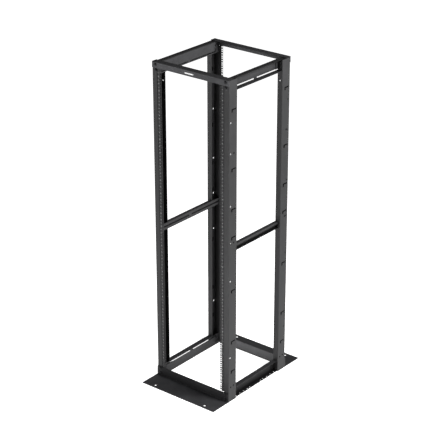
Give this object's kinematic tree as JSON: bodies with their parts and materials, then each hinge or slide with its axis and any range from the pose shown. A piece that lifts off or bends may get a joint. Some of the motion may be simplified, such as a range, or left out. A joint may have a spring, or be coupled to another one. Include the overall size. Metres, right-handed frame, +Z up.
{
  "type": "four post open frame rack",
  "caption": "Free-standing open frame equipment rack of folded sheet steel: four channel posts with square-hole rails, headers, slotted side beams, mid braces and wide base angles.",
  "frame": {"origin": "on the floor at the middle of the rack's footprint", "axes": "+Z up; the front faces -Y; +X to the right seen from the front"},
  "size_m": [0.589, 0.8938, 2.1336],
  "materials": {
    "black_powder_coat": "satin, finely textured black powder coat"
  },
  "bodies": {
    "root": {"front_base_angle": "black_powder_coat", "front_header": "black_powder_coat", "front_left_foot_cleat": "black_powder_coat", "front_left_post": "black_powder_coat", "front_left_rail": "black_powder_coat", "front_left_top_cleat": "black_powder_coat", "front_right_foot_cleat": "black_powder_coat", "front_right_post": "black_powder_coat", "front_right_rail": "black_powder_coat", "front_right_top_cleat": "black_powder_coat", "left_bottom_beam": "black_powder_coat", "left_mid_brace": "black_powder_coat", "left_top_beam": "black_powder_coat", "rear_base_angle": "black_powder_coat", "rear_header": "black_powder_coat", "rear_left_foot_cleat": "black_powder_coat", "rear_left_post": "black_powder_coat", "rear_left_rail": "black_powder_coat", "rear_left_top_cleat": "black_powder_coat", "rear_right_foot_cleat": "black_powder_coat", "rear_right_post": "black_powder_coat", "rear_right_rail": "black_powder_coat", "rear_right_top_cleat": "black_powder_coat", "right_bottom_beam": "black_powder_coat", "right_mid_brace": "black_powder_coat", "right_top_beam": "black_powder_coat"}
  },
  "joints": []
}
